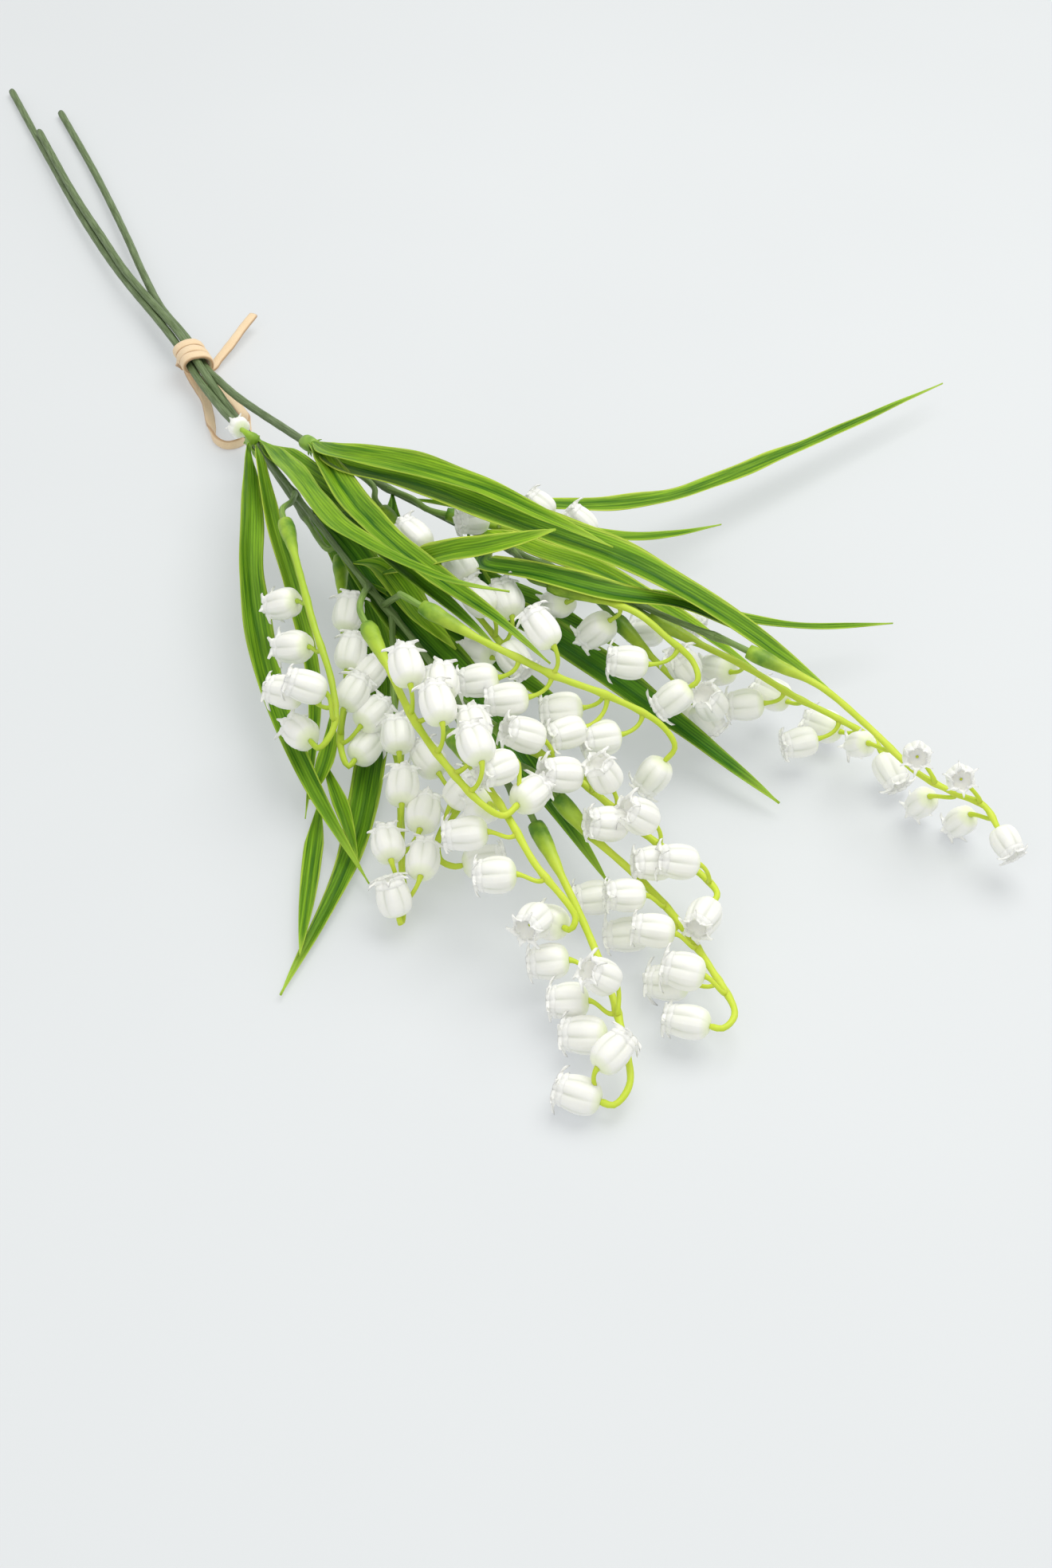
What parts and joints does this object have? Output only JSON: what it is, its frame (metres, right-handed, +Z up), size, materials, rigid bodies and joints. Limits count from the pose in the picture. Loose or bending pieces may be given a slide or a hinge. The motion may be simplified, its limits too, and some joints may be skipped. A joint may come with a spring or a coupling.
{
  "type": "artificial lily of the valley bunch",
  "caption": "Bunch of plastic lily of the valley lying on its side: nodding white bells on green sprays, slim leaves and leaf collars, cut stems tied with a flat tan cord.",
  "frame": {"origin": "centre of the footprint of the lying bunch, on the surface it lies on", "axes": "+X along the stems towards the flowers, +Y across the bunch towards its long side leaf, +Z up"},
  "size_m": [0.5218, 0.2718, 0.0584],
  "materials": {
    "stem_plastic": "grey-green moulded plastic over wire",
    "spray_plastic": "white satin bells on light green stalks",
    "leaf_plastic": "printed green leaf with pale margins",
    "collar_plastic": "light green moulding with trimmed burrs",
    "tie_fabric": "pale tan flat cord"
  },
  "bodies": {
    "root": {"stem_left": "stem_plastic", "stem_middle": "stem_plastic", "stem_right": "stem_plastic", "spray_left": "spray_plastic", "spray_under": "spray_plastic", "spray_low_left": "spray_plastic", "spray_inner": "spray_plastic", "spray_long": "spray_plastic", "spray_fork": "spray_plastic", "spray_front": "spray_plastic", "spray_right_low": "spray_plastic", "spray_centre": "spray_plastic", "spray_middle": "spray_plastic", "spray_upper": "spray_plastic", "spray_shade": "spray_plastic", "spray_side": "spray_plastic", "spray_end": "spray_plastic", "spray_covered": "spray_plastic", "spray_back": "spray_plastic", "spray_tie": "spray_plastic", "leaf_far_left": "leaf_plastic", "leaf_left_inner": "leaf_plastic", "leaf_left_broad": "leaf_plastic", "leaf_left_slim": "leaf_plastic", "leaf_left_short": "leaf_plastic", "leaf_left_cross": "leaf_plastic", "leaf_arch": "leaf_plastic", "leaf_right_slim": "leaf_plastic", "leaf_blue": "leaf_plastic", "leaf_top_far": "leaf_plastic", "leaf_top_long": "leaf_plastic", "leaf_right_float": "leaf_plastic", "leaf_right_under": "leaf_plastic", "leaf_right_tip": "leaf_plastic", "leaf_dark_long": "leaf_plastic", "leaf_curl": "leaf_plastic", "leaf_upper_dark": "leaf_plastic", "leaf_shadow": "leaf_plastic", "leaf_yellow": "leaf_plastic", "leaf_deep": "leaf_plastic", "leaf_cross_under": "leaf_plastic", "leaf_striped": "leaf_plastic", "leaf_under_arch": "leaf_plastic", "leaf_collar_left": "collar_plastic", "leaf_collar_middle": "collar_plastic", "leaf_collar_right": "collar_plastic", "tie_cord": "tie_fabric"}
  },
  "joints": []
}
